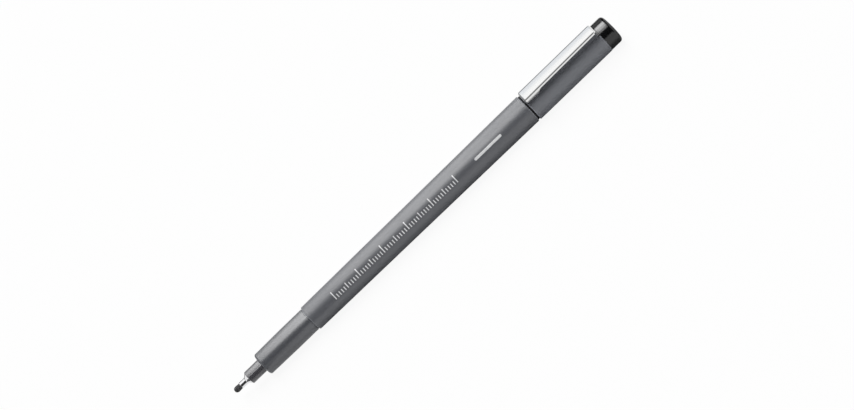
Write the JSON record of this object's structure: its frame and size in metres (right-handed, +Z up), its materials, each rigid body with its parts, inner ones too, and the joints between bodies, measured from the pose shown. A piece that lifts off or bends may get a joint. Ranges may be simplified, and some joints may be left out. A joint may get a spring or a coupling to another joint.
{
  "type": "fineliner pen",
  "caption": "Slim fineliner pen with a metal-sheathed fibre nib, a tapered barrel, and a pull-off cap with a sprung pocket clip, posted on the tail.",
  "frame": {"origin": "on the surface the pen lies on, under the middle of its length", "axes": "+X along the pen from nib to cap end, +Y across it, +Z up; the clip faces up and leans 25 degrees towards -Y"},
  "size_m": [0.1562, 0.0098, 0.013],
  "materials": {
    "grey_satin": "satin",
    "grey_smooth": "smooth",
    "grey_gloss": "gloss",
    "black_gloss": "gloss",
    "black_matt": "matt",
    "bright_steel": "polished",
    "sheath_metal": "polished",
    "nib_fibre": "matt",
    "ink_fibre": "matt",
    "clear_film": "gloss",
    "soft_seal": "satin"
  },
  "bodies": {
    "barrel": {"barrel_tube": "grey_satin", "front_section": "grey_smooth", "nib_holder": "grey_gloss", "nib_sheath": "sheath_metal", "writing_nib": "nib_fibre", "ink_reservoir": "ink_fibre", "reservoir_film": "clear_film", "tail_plug": "black_matt"},
    "cap": {"cap_sleeve": "grey_satin", "cap_inner_seal": "soft_seal", "cap_end_plug": "black_gloss", "clip_root": "bright_steel"},
    "clip": {"clip_arm": "bright_steel"}
  },
  "joints": [
    {"name": "cap_pull", "type": "slide", "parent": "barrel", "child": "cap", "axis": [1, 0, 0], "range_m": [0, 0.02]},
    {"name": "clip_flex", "type": "hinge", "parent": "cap", "child": "clip", "pos_m": [0.07253, -0.0032, 0.01179], "axis": [0, 0.9063, 0.4226], "range_deg": [0, 4], "stiffness_Nm_per_rad": 1.5}
  ]
}
